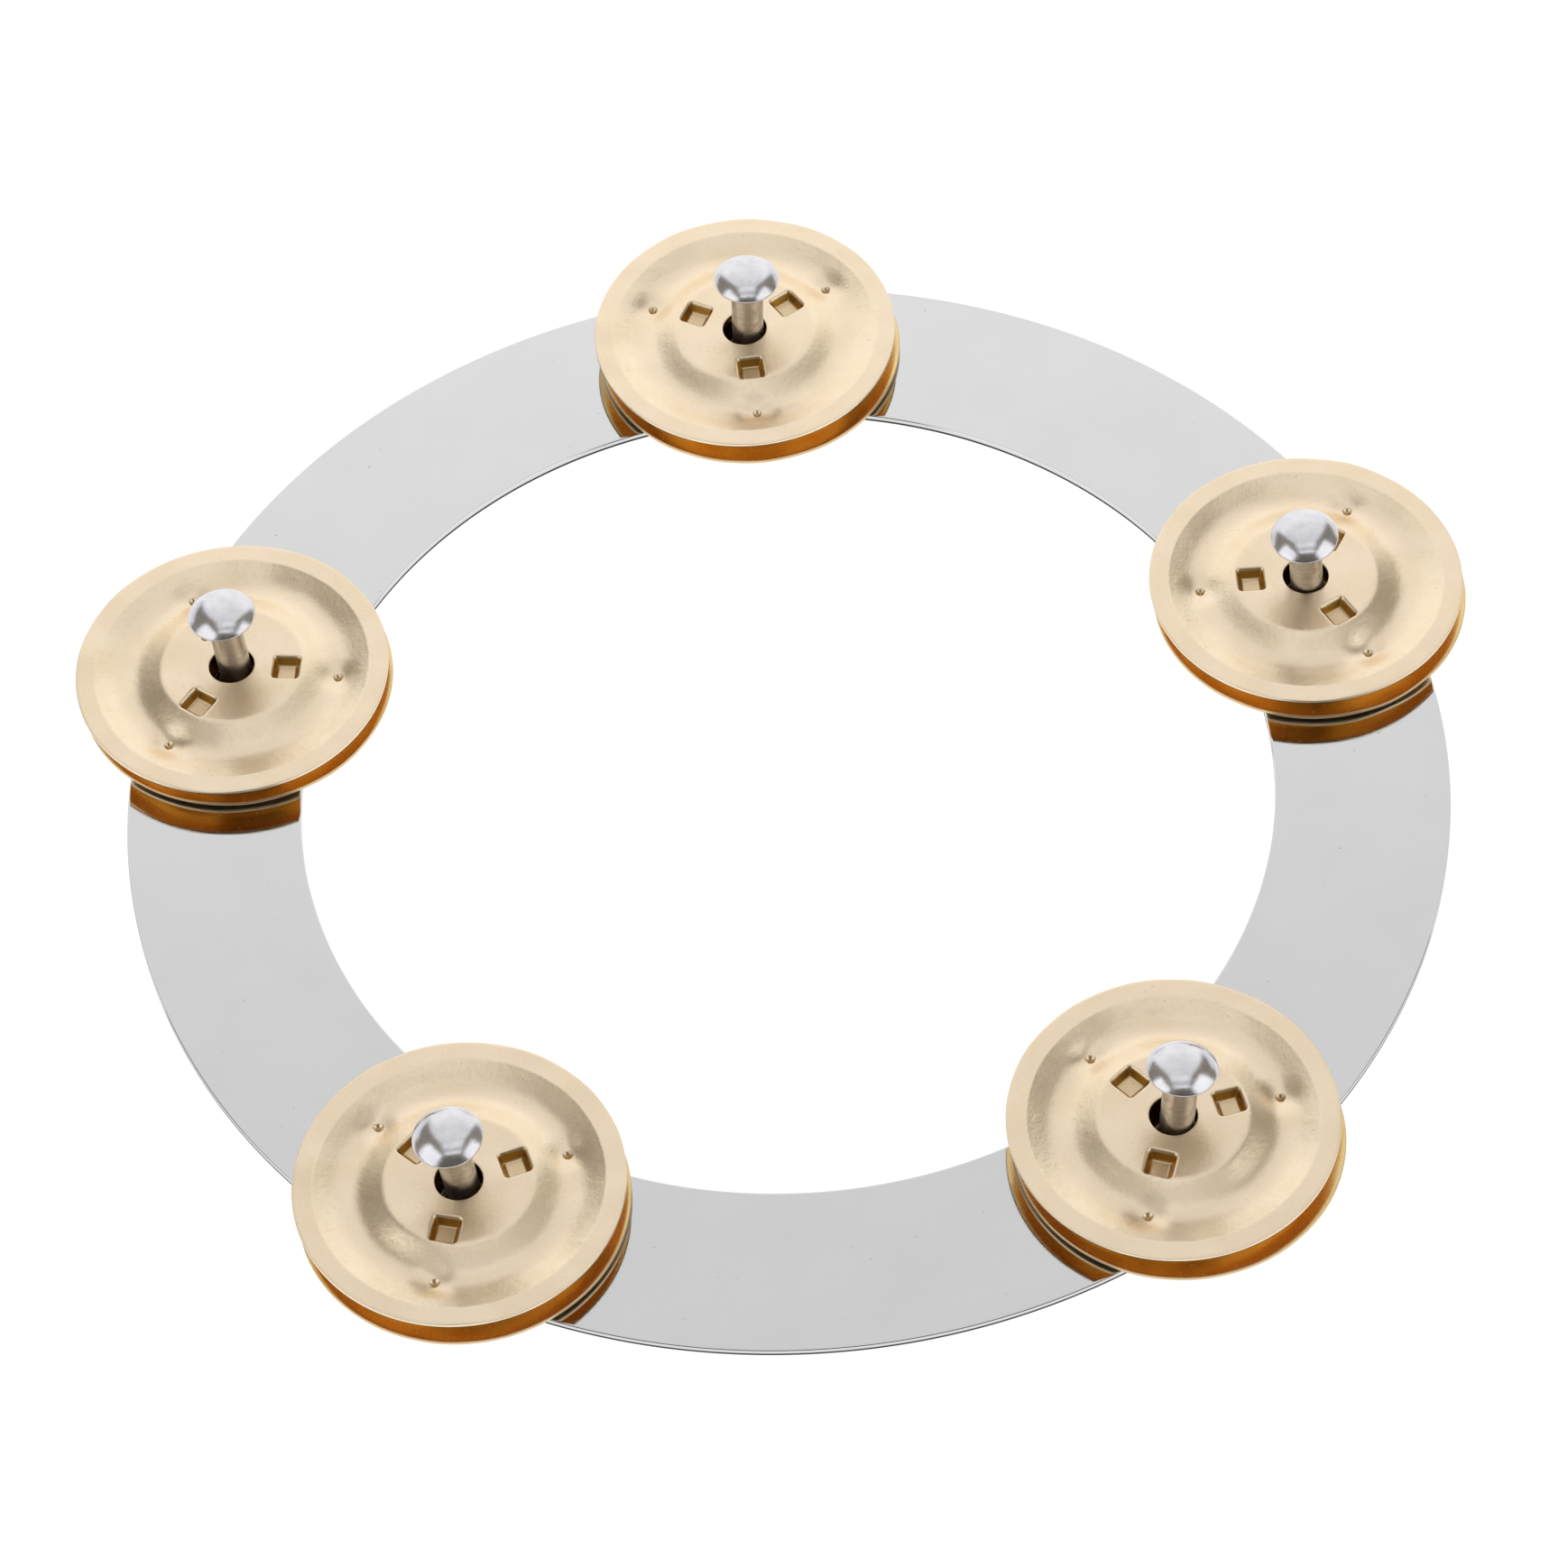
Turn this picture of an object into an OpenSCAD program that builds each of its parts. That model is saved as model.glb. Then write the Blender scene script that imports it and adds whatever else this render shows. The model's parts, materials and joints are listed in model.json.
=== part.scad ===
// Cymbal-top tambourine: a flat steel ring that carries five pairs of loose brass jingles.
// Origin: centre of the ring on its underside. +Z up, +Y towards stack 1. Millimetres.
// Stacks 1 to 5 run counter-clockwise seen from above. Each is a rivet with two jingles on it.

/* [Ring] */
// Outer diameter of the ring
ring_d = 152; // [140:1:170]
// Diameter of the round opening
opening_d = 112; // [90:1:116]
// Thickness of the ring's sheet
ring_t = 1.0; // [0.8:0.1:2]
// Radius of the circle that the rivets stand on
pitch_r = 66; // [60:0.5:68]

/* [Rivets] */
// Diameter of the domed head
head_d = 7.8; // [7:0.1:10]
// Straight edge of the head, below its dome
head_edge = 0.35; // [0.2:0.05:0.8]
// Height of the dome above its edge
dome_h = 1.5; // [1:0.1:2.5]
// Height of the head's flat underside above the ring
stand_h = 12.7; // [11:0.1:18]
// Diameter of the shank that the jingles slide on
shank_d = 3.8; // [3:0.1:4.2]
// Diameter of the collar at the foot of the shank
collar_d = 4.0; // [3.6:0.1:4.2]
// Height of the collar
collar_h = 0.5; // [0.3:0.1:1]
// Diameter of the tenon that passes through the ring
tenon_d = 3.0; // [2:0.1:3.4]
// Diameter of the peened tail, where it is widest
tail_d = 5.6; // [5:0.1:7]
// Diameter of the tail's flat end, which the object stands on
tail_flat_d = 4.0; // [3:0.1:5]
// Height of the tail under the ring
tail_h = 0.8; // [0.5:0.1:1.5]

/* [Jingles] */
// Diameter of a jingle
jingle_d = 36.5; // [30:0.5:38]
// Thickness of the brass sheet
sheet_t = 0.5; // [0.4:0.05:0.6]
// Diameter of the centre hole
hole_d = 5.3; // [5.2:0.1:6]
// Radius of the flat hub
hub_r = 8.15; // [7.8:0.05:9]
// Height of the hub above the rim's plane
hub_rise = 0.35; // [0:0.05:0.6]
// Radius at the bottom of the groove
groove_r = 12.3; // [11:0.1:13]
// Depth of the groove below the rim's plane
groove_depth = 1.1; // [0.6:0.1:1.2]
// Radius where the flat rim starts
rim_r = 16.1; // [14.5:0.1:16.5]
// How the groove's sides rise from its bottom: 2 is a parabola, less is straighter
groove_power = 1.7; // [1.3:0.1:2.5]
// Height of an upper jingle's rim above the ring, at rest
upper_rim_h = 4.2; // [4.2:0.1:6]
// Gap between a lower jingle's hub and the ring, at rest
rest_gap = 0.1; // [0.05:0.05:0.3]

/* [Marks pressed into a jingle] */
// Number of square pockets in the hub, and of pits in the groove
mark_count = 3; // [2:1:4]
// Width of a pocket
pocket_w = 3.0; // [2:0.1:3.2]
// Depth of a pocket
pocket_depth = 1.2; // [0.5:0.1:1.3]
// Radius at a pocket's centre
pocket_r = 6.4; // [6:0.1:6.5]
// Wall thickness of a pocket below the sheet
pocket_wall = 0.3; // [0.2:0.05:0.4]
// Radius at a pit
pit_r = 12.3; // [11.5:0.1:13]
// Diameter of a pit's boss, where it leaves the sheet
pit_d = 1.4; // [1:0.1:1.8]
// Depth of a pit, and height of its boss on the other face
pit_depth = 0.45; // [0.2:0.05:0.45]

/* [Hidden] */
$fn = 96;

stack_count = 5;
steel = "lightgray";
alloy = "gainsboro";
brass = "burlywood";

// The rivets are set by hand, so each leans a little. Sideways shift of each head, in X and Y.
head_shift = [[0.3, 0.2], [-0.6, 0.3], [-1.0, -0.3], [0.7, 1.0], [-0.9, -0.6]];
// The jingles fit loosely. Where each lies beside its rivet's foot, in X and Y, and its turn in degrees.
lower_lie = [[0.2, 0, 10], [-0.2, 0.35, 50], [-0.2, -0.5, 100], [0.45, 0.25, 80], [0.2, 0.5, 35]];
upper_lie = [[-0.3, -0.1, 33], [-0.45, -0.45, -8], [-0.5, -0.3, 15], [-0.15, 0.65, 11], [-0.35, 0.3, 59]];

slope_steps = 8;
mark_step = 360 / mark_count;
past = 1;
// Height of the lower jingle's rim above the ring, to its underside
lower_rim_h = rest_gap + hub_rise;

// A point of the groove's side, at share t of the way from its bottom to its edge
function side_point(edge_r, edge_z, t) =
    [groove_r + (edge_r - groove_r) * t, -groove_depth + (edge_z + groove_depth) * pow(t, groove_power)];

// Points of a jingle's top face from its hole outwards
function dish_top() = concat(
    [[hole_d / 2, hub_rise]],
    [for (i = [slope_steps:-1:0]) side_point(hub_r, hub_rise, i / slope_steps)],
    [for (i = [1:slope_steps]) side_point(rim_r, 0, i / slope_steps)],
    [[jingle_d / 2, 0]]
);

function under(points) = [for (i = [len(points) - 1:-1:0]) [points[i][0], points[i][1] - sheet_t]];

// The direction of stack i, counted from 1, as an angle from +X
function stack_angle(i) = 90 + (i - 1) * 360 / stack_count;

// Children are moved to the foot of rivet i, on top of the ring
module at_stack(i) {
    translate([pitch_r * cos(stack_angle(i)), pitch_r * sin(stack_angle(i)), ring_t])
        children();
}

module around_marks(radius) {
    for (k = [0:mark_count - 1])
        rotate(k * mark_step)
            translate([radius, 0, 0])
                children();
}

// A jingle with its cup side up and its rim's top face at z = 0
module jingle() {
    color(brass)
        difference() {
            union() {
                rotate_extrude()
                    polygon(concat(dish_top(), under(dish_top())));
                around_marks(pocket_r)
                    pocket_shell();
                around_marks(pit_r)
                    pit_boss();
            }
            around_marks(pocket_r)
                pocket_space();
            around_marks(pit_r)
                pit_space();
        }
}

module pocket_shell() {
    width = pocket_w + 2 * pocket_wall;
    height = pocket_depth + sheet_t / 2;
    translate([-width / 2, -width / 2, hub_rise - pocket_depth - sheet_t])
        cube([width, width, height]);
}

module pocket_space() {
    translate([-pocket_w / 2, -pocket_w / 2, hub_rise - pocket_depth])
        cube([pocket_w, pocket_w, pocket_depth + past]);
}

// A pit is pressed into the bottom of the groove, and its boss stands out below
module pit_boss() {
    height = pit_depth + sheet_t / 2;
    translate([0, 0, -groove_depth - sheet_t - pit_depth])
        cylinder(d1 = pit_d / 2, d2 = pit_d, h = height);
}

module pit_space() {
    translate([0, 0, -groove_depth - pit_depth])
        cylinder(d1 = pit_d / 4, d2 = pit_d / 2, h = pit_depth);
    translate([0, 0, -groove_depth])
        cylinder(d = pit_d / 2, h = past);
}

module ring() {
    color(steel)
        difference() {
            cylinder(d = ring_d, h = ring_t, $fn = 180);
            translate([0, 0, -past])
                cylinder(d = opening_d, h = ring_t + 2 * past, $fn = 180);
            for (i = [1:stack_count])
                at_stack(i)
                    translate([0, 0, -ring_t - past])
                        cylinder(d = tenon_d, h = ring_t + 2 * past);
        }
}

// The foot is upright: a collar on the ring, a tenon through it and a peened tail below
module rivet_foot() {
    cylinder(d = collar_d, h = collar_h);
    translate([0, 0, -ring_t - tail_h])
        cylinder(d = tenon_d, h = ring_t + tail_h + collar_h / 2);
    translate([0, 0, -ring_t - tail_h])
        cylinder(d1 = tail_flat_d, d2 = tail_d, h = tail_h);
}

module rivet_head() {
    dome_radius = (pow(head_d / 2, 2) + pow(dome_h, 2)) / (2 * dome_h);
    cylinder(d = head_d, h = head_edge);
    intersection() {
        translate([0, 0, head_edge + dome_h - dome_radius])
            sphere(r = dome_radius);
        translate([0, 0, head_edge / 2])
            cylinder(d = head_d, h = head_edge + dome_h);
    }
}

module rivet(i) {
    shift = head_shift[i - 1];
    lean = atan(norm(shift) / stand_h);
    color(alloy)
        at_stack(i) {
            rivet_foot();
            rotate(a = lean, v = [-shift[1], shift[0], 0]) {
                translate([0, 0, collar_h / 2])
                    cylinder(d = shank_d, h = stand_h);
                translate([0, 0, stand_h])
                    rivet_head();
            }
        }
}

module lower_jingle(i) {
    lie = lower_lie[i - 1];
    at_stack(i)
        translate([lie[0], lie[1], lower_rim_h])
            rotate(lie[2])
                mirror([0, 0, 1])
                    jingle();
}

module upper_jingle(i) {
    lie = upper_lie[i - 1];
    at_stack(i)
        translate([lie[0], lie[1], upper_rim_h])
            rotate(lie[2])
                jingle();
}

ring();
rivet(1);  // rivet_1
rivet(2);  // rivet_2
rivet(3);  // rivet_3
rivet(4);  // rivet_4
rivet(5);  // rivet_5
lower_jingle(1);  // lower_jingle_1
lower_jingle(2);  // lower_jingle_2
lower_jingle(3);  // lower_jingle_3
lower_jingle(4);  // lower_jingle_4
lower_jingle(5);  // lower_jingle_5
upper_jingle(1);  // upper_jingle_1
upper_jingle(2);  // upper_jingle_2
upper_jingle(3);  // upper_jingle_3
upper_jingle(4);  // upper_jingle_4
upper_jingle(5);  // upper_jingle_5
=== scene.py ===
"""Looks of a cymbal-top tambourine: a mirror-polished ring with five pairs of satin brass jingles."""

import json
import math

import bpy
import numpy as np
from mathutils import Matrix, Vector, geometry


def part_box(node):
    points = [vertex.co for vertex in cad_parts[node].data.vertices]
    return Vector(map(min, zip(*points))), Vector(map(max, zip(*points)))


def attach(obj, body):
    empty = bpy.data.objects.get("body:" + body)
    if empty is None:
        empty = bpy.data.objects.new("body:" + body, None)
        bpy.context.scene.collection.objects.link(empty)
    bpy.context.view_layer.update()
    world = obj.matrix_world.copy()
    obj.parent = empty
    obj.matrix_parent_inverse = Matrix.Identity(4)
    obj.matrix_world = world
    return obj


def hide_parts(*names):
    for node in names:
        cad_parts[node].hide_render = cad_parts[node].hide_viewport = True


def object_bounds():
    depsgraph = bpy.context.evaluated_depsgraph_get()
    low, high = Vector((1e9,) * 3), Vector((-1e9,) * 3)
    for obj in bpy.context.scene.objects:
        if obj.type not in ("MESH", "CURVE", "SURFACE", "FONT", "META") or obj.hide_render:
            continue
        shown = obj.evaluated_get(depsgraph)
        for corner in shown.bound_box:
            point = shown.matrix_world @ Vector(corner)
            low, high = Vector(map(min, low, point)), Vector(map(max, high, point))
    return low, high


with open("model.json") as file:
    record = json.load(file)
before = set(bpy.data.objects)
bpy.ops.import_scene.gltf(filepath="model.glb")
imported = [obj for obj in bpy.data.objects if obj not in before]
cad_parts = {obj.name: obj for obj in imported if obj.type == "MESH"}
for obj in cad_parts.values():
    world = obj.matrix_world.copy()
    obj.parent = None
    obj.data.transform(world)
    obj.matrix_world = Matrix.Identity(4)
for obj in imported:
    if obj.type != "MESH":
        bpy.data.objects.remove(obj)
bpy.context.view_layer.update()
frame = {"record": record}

MM = 0.001
TURN = 2 * math.pi
STACKS = 5

# Ring, in millimetres
PITCH_RADIUS = 66.0
RING_BEVEL = 0.16
RING_SEGMENTS = 360
OPENING_SEGMENTS = 288
RIVET_HOLE_SEGMENTS = 40

# Rivets, in millimetres
RIVET_SEGMENTS = 72
STAND_HEIGHT = 12.7
HEAD_RADIUS = 3.9
# Height of the head's edge, and how far its lower corner is rounded
HEAD_EDGE = 0.35
HEAD_ROUND = 0.25
DOME_HEIGHT = 1.5
# How the dome falls away from its middle: 2 is a ball's cap, more is flatter with a steeper edge
DOME_POWER = 2.8
# Share of the head's radius where the dome takes over from the rounded edge
DOME_START = 0.965
DOME_STEPS = 30
SHANK_RADIUS = 1.9
SHANK_STEPS = 12
# The shank widens into the head over this height
SHANK_ROOT = 0.5
COLLAR_RADIUS = 2.0
COLLAR_HEIGHT = 0.5
TENON_RADIUS = 1.5
TAIL_RADIUS = 2.8
TAIL_FLAT_RADIUS = 2.0
TAIL_HEIGHT = 0.8

# Jingles, in millimetres
JINGLE_RADIUS = 18.25
HOLE_RADIUS = 2.65
SHEET = 0.5
HUB_RISE = 0.35
HUB_RADIUS = 8.15
GROOVE_RADIUS = 12.3
GROOVE_DEPTH = 1.1
RIM_RADIUS = 16.1
EDGE_ROUND = 0.1
DISC_SEGMENTS = 192

# Pockets, pits and the broad depression around each pit, in millimetres
MARKS = 3
POCKET_RADIUS = 6.4
POCKET_HALF = 1.7
POCKET_CORNER = 0.55
POCKET_DEPTH = 1.2
# How far a mark's own mesh loops reach: past a pocket's mouth, and from a pit's middle
POCKET_REACH = 0.45
PIT_REACH = 1.5
PIT_SEGMENTS = 32
PIT_RADIUS = 12.3
PIT_DEPTH = 0.46
BOSS_HEIGHT = 0.45
DEPRESSION_DEPTH = 0.42
DEPRESSION_REACH = 3.3

# Slow waves in the sheet: how many, how long in millimetres, and how high the longest is
WAVES = 9
WAVE_LENGTHS = (5.0, 11.0)
WAVE_HEIGHT = 0.02
# A jingle's waves are drawn with this seed plus its stack's number
UPPER_SEED = 10
LOWER_SEED = 50

# Turn of each jingle about its rivet, in degrees
UPPER_TURNS = (33, -8, 15, 11, 59)
LOWER_TURNS = (10, 50, 100, 80, 35)

# Camera: what it aims at on the ring's top face, in millimetres, and where it stands, in degrees
AIM = (-0.320, -0.257, 1.0)
CAMERA_DISTANCE = 640.46
CAMERA_ELEVATION = 53.04
CAMERA_AZIMUTH = -1.124
CAMERA_ROLL = -3.62
SENSOR_WIDTH = 36.0
LENS = 127.89

# In metres
FLOOR_SIZE = 6.0
# In millimetres
SCRIM_HALF_WIDTH = 376

# Light that reaches the object from where no card shines: from all round, and from the front
ROOM_LIGHT = 0.27
FRONT_LIGHT = 0.13
ROOM_COLOUR = (1.0, 0.90, 0.75, 1.0)

BRASS_TARNISH = (0.74, 0.56, 0.32, 1.0)
WHITE = (1.0, 1.0, 1.0, 1.0)
# Light bounces many times between the two jingles of a pair
BOUNCES = 24


# ---------------------------------------------------------------- small helpers


def smooth_curve(nodes, at):
    """Cubic curve through nodes (place, height, slope), read at an array of places. Level past its ends."""
    places, heights, painted_light_slopes = (np.array(column, float) for column in zip(*nodes))
    at = np.clip(at, places[0], places[-1])
    left = np.clip(np.searchsorted(places, at, side="right") - 1, 0, len(places) - 2)
    span = places[left + 1] - places[left]
    t = (at - places[left]) / span
    h00 = 2 * t**3 - 3 * t**2 + 1
    h10 = t**3 - 2 * t**2 + t
    h01 = 3 * t**2 - 2 * t**3
    h11 = t**3 - t**2
    return (
        h00 * heights[left]
        + h10 * span * painted_light_slopes[left]
        + h01 * heights[left + 1]
        + h11 * span * painted_light_slopes[left + 1]
    )


def circle(radius, count, centre=(0.0, 0.0)):
    """count points around a circle, counter-clockwise, as an array."""
    angles = np.arange(count) * TURN / count
    return np.stack([centre[0] + radius * np.cos(angles), centre[1] + radius * np.sin(angles)], axis=1)


def triangulate(points):
    """Triangles between plan points, as rows of three indices, wound counter-clockwise."""
    plan = [Vector((float(x), float(y))) for x, y in points]
    _, _, faces, origins, _, _ = geometry.delaunay_2d_cdt(plan, [], [], 0, 1e-7, True)
    first = np.array([o[0] for o in origins])
    return first[np.array(faces)]


def link_mesh(name, vertices, faces, materials, sharp_angle=40.0, slots=None):
    """A smooth-shaded mesh object from points in metres.
    Edges where faces meet at more than sharp_angle degrees are creased."""
    mesh = bpy.data.meshes.new(name)
    mesh.from_pydata([tuple(v) for v in vertices], [], [tuple(int(i) for i in f) for f in faces])
    mesh.validate()
    for material in materials:
        mesh.materials.append(material)
    if slots is not None:
        mesh.polygons.foreach_set("material_index", slots)
    mesh.shade_smooth()
    mesh.set_sharp_from_angle(angle=math.radians(sharp_angle))
    mesh.update()
    obj = bpy.data.objects.new(name, mesh)
    bpy.context.scene.collection.objects.link(obj)
    return obj


def bridge(loops):
    """Quads between loops of equal length, each a list of vertex indices."""
    faces = []
    for a, b in zip(loops, loops[1:]):
        count = len(a)
        for i in range(count):
            j = (i + 1) % count
            faces.append((a[i], a[j], b[j], b[i]))
    return faces


def stack_point(i):
    """Foot of rivet i, counted from 1, in plan."""
    angle = TURN / 4 + (i - 1) * TURN / STACKS
    return Vector((PITCH_RADIUS * math.cos(angle), PITCH_RADIUS * math.sin(angle)))


# ---------------------------------------------------------------- material helpers


class Nodes:
    """Short calls for building one material's node tree."""

    def __init__(self, name):
        self.material = bpy.data.materials.new(name)
        self.material.use_nodes = True
        self.tree = self.material.node_tree
        self.tree.nodes.clear()
        self.shader = self.add("ShaderNodeBsdfPrincipled")
        self.output = self.add("ShaderNodeOutputMaterial")
        self.tree.links.new(self.shader.outputs["BSDF"], self.output.inputs["Surface"])
        self.place = self.add("ShaderNodeTexCoord").outputs["Object"]

    def add(self, kind, **inputs):
        node = self.tree.nodes.new(kind)
        for key, value in inputs.items():
            self.plug(node.inputs[key.replace("_", " ")], value)
        return node

    def plug(self, socket, value):
        if isinstance(value, bpy.types.NodeSocket):
            self.tree.links.new(value, socket)
        else:
            socket.default_value = value

    def set(self, **inputs):
        """Values or links for the shader's own sockets."""
        for key, value in inputs.items():
            self.plug(self.shader.inputs[key.replace("_", " ")], value)

    def maths(self, operation, a, b=0.0):
        node = self.add("ShaderNodeMath")
        node.operation = operation
        for socket, value in zip(node.inputs, (a, b)):
            self.plug(socket, value)
        return node.outputs[0]

    def noise(self, scale, detail=2.0, roughness=0.5, place=None):
        place = place or self.place
        node = self.add("ShaderNodeTexNoise", Vector=place, Scale=scale, Detail=detail, Roughness=roughness)
        return node.outputs["Fac"]

    def ramp(self, value, low, high, to_low=0.0, to_high=1.0):
        """A value's way from low to high, mapped to to_low..to_high with soft ends."""
        node = self.add("ShaderNodeMapRange", Value=value)
        node.interpolation_type = "SMOOTHSTEP"
        for key, number in zip(("From Min", "From Max", "To Min", "To Max"), (low, high, to_low, to_high)):
            node.inputs[key].default_value = number
        return node.outputs["Result"]

    def ramp_mm(self, value, low, high, to_low=0.0, to_high=1.0):
        """The same for a length in metres, with low and high in millimetres."""
        return self.ramp(value, low * MM, high * MM, to_low, to_high)

    def mix(self, factor, a, b):
        """Colour a where factor is 0, colour b where it is 1."""
        node = self.add("ShaderNodeMix")
        node.data_type = "RGBA"
        self.plug(node.inputs["Factor"], factor)
        self.plug(node.inputs["A"], a)
        self.plug(node.inputs["B"], b)
        return node.outputs["Result"]

    def bump(self, height, distance_mm, under=None):
        """A normal bumped by a height of 0 to 1, over the bumped normal under it."""
        node = self.add("ShaderNodeBump", Height=height, Strength=1.0, Distance=distance_mm * MM)
        if under is not None:
            self.plug(node.inputs["Normal"], under)
        return node.outputs["Normal"]

    def parts(self):
        """The X, Y and Z of a place on the object, as three sockets."""
        return self.add("ShaderNodeSeparateXYZ", Vector=self.place).outputs

    def along(self, **axis):
        """A place that changes along one axis only, such as X=socket, for rings and bands of noise."""
        return self.add("ShaderNodeCombineXYZ", **axis).outputs[0]

    def off_axis(self):
        """Distance of a place from the object's own upright axis."""
        x, y, _ = self.parts()
        squares = self.maths("ADD", self.maths("MULTIPLY", x, x), self.maths("MULTIPLY", y, y))
        return self.maths("SQRT", squares)

    def both(self, a, b):
        """The product of two masks."""
        return self.maths("MULTIPLY", a, b)


def per_metre(size_mm):
    """Scale of a noise whose features are about size_mm across."""
    return 1.0 / (size_mm * MM)


# ---------------------------------------------------------------- materials


def slope_mask(n, radius):
    """1 on the two sides of the groove, 0 on the hub, at the groove's bottom and on the rim."""
    inner = n.both(
        n.ramp_mm(radius, HUB_RADIUS - 0.25, HUB_RADIUS + 0.65),
        n.ramp_mm(radius, GROOVE_RADIUS - 1.7, GROOVE_RADIUS - 0.3, 1.0, 0.0),
    )
    outer = n.both(
        n.ramp_mm(radius, GROOVE_RADIUS + 0.7, GROOVE_RADIUS + 1.9),
        n.ramp_mm(radius, RIM_RADIUS - 0.2, RIM_RADIUS + 0.2, 1.0, 0.0),
    )
    return n.maths("ADD", inner, outer)


def shade_pressed_marks(n, radius, z, colour):
    """A colour of brass with painted shade: darker on pockets' walls and in pits, and a little darker on
    pockets' floors.
    """
    floor = HUB_RISE - POCKET_DEPTH
    in_hub = n.ramp_mm(radius, HUB_RADIUS - 0.15, HUB_RADIUS + 0.15, 1.0, 0.0)
    under_mouth = n.ramp_mm(z, HUB_RISE - 0.15, HUB_RISE - 0.41)
    over_floor = n.ramp_mm(z, floor + 0.05, floor + 0.19, 0.4, 1.0)
    # Painted shade: pockets' walls coloured dark brown, their floors a little darker
    colour = n.mix(n.both(in_hub, n.both(under_mouth, over_floor)), colour, (0.43, 0.255, 0.055, 1.0))
    # Painted shade: pits coloured dark olive
    pit_shade = n.ramp_mm(z, -GROOVE_DEPTH - 0.40, -GROOVE_DEPTH - 0.75, 0.0, 0.7)
    return n.mix(pit_shade, colour, (0.50, 0.33, 0.12, 1.0))


def on_cut_edge(n, cut_edge, z, colour):
    """A colour of brass, changed on the sheared edge.
    An upper jingle's edge lies below z = 0. It gets a pale painted highlight over most of its height, and
    nearly black painted shade along its lower part.
    A lower jingle's edge lies above z = 0, and takes the darker tarnish colour."""
    # Painted highlight on an upper jingle's edge, tarnish colour on a lower one's
    highlight_and_tarnish = n.mix(n.ramp_mm(z, -0.02, 0.06), (0.92, 0.82, 0.62, 1.0), BRASS_TARNISH)
    shaded_half = n.ramp_mm(z, 0.12 - SHEET, 0.22 - SHEET, 1.0, 0.0)
    colour = n.mix(cut_edge, colour, highlight_and_tarnish)
    # Painted shade: nearly black along the lower part of an upper jingle's edge
    return n.mix(n.both(cut_edge, shaded_half), colour, (0.10, 0.06, 0.025, 1.0))


def brass_material():
    """Pressed, satin-rolled sheet: pale, mottled on the groove's slopes, with painted light: a lighter
    colour on the slopes, painted shade in the pressed marks, and a painted highlight and shade on the cut
    edge.
    """
    n = Nodes("satin_brass")
    radius = n.off_axis()
    z = n.parts()["Z"]
    on_slope = slope_mask(n, radius)
    cut_edge = n.ramp_mm(radius, JINGLE_RADIUS - 0.12, JINGLE_RADIUS - 0.03)

    clouds = n.noise(per_metre(7.0), detail=3.0)
    cloudy = n.ramp(clouds, 0.35, 0.68)
    grain = n.noise(per_metre(0.45), detail=5.0, roughness=0.7)
    specks = n.ramp(n.noise(per_metre(0.55), detail=1.0), 0.76, 0.80, 0.0, 0.4)
    flats = n.mix(cloudy, (0.878, 0.73, 0.545, 1.0), (0.853, 0.70, 0.505, 1.0))
    # Painted light: the groove's slopes are coloured lighter than the flats
    painted_light_slopes = n.mix(cloudy, (0.91, 0.765, 0.57, 1.0), (0.885, 0.735, 0.52, 1.0))
    colour = n.mix(on_slope, flats, painted_light_slopes)
    colour = n.mix(n.ramp(grain, 0.52, 0.80, 0.0, 0.45), colour, BRASS_TARNISH)
    colour = n.mix(specks, colour, (0.50, 0.36, 0.18, 1.0))
    colour = shade_pressed_marks(n, radius, z, colour)
    colour = on_cut_edge(n, cut_edge, z, colour)

    roughness = n.maths("ADD", n.ramp(clouds, 0.3, 0.7, 0.28, 0.32), n.ramp(grain, 0.4, 0.75, 0.0, 0.08))
    roughness = n.maths("ADD", roughness, n.maths("MULTIPLY", cut_edge, 0.08))

    tears = n.noise(per_metre(0.18), detail=2.0)
    mottle = n.noise(per_metre(1.1), detail=4.0, roughness=0.65)
    rolled_rings = n.noise(per_metre(0.5), detail=1.0, place=n.along(X=radius))
    dents = n.ramp(n.noise(per_metre(2.4), detail=1.0), 0.62, 0.8)
    normal = n.bump(n.both(tears, cut_edge), 0.02)
    normal = n.bump(grain, 0.024, under=normal)
    normal = n.bump(n.both(mottle, on_slope), 0.035, under=normal)
    normal = n.bump(rolled_rings, 0.002, under=normal)
    normal = n.bump(dents, 0.012, under=normal)
    n.set(Base_Color=colour, Metallic=1.0, Roughness=roughness, Normal=normal)
    return n.material


def inner_brass_material():
    """The backs of two jingles, which face each other: more yellow, with painted shade around the hub."""
    n = Nodes("inner_brass")
    clouds = n.noise(per_metre(5.0), detail=3.0)
    grain = n.noise(per_metre(0.4), detail=4.0, roughness=0.65)
    colour = n.mix(n.ramp(clouds, 0.35, 0.68), (0.87, 0.64, 0.30, 1.0), (0.82, 0.57, 0.24, 1.0))
    hub_shade = n.ramp_mm(n.off_axis(), 4.5, 8.5, 1.0, 0.0)
    # Painted shade: dark brown around the hub, where the two jingles shade each other
    colour = n.mix(hub_shade, colour, (0.34, 0.23, 0.11, 1.0))
    n.set(Base_Color=colour, Metallic=1.0, Roughness=n.ramp(grain, 0.35, 0.75, 0.22, 0.28))
    n.set(Normal=n.bump(grain, 0.002))
    return n.material


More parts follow.
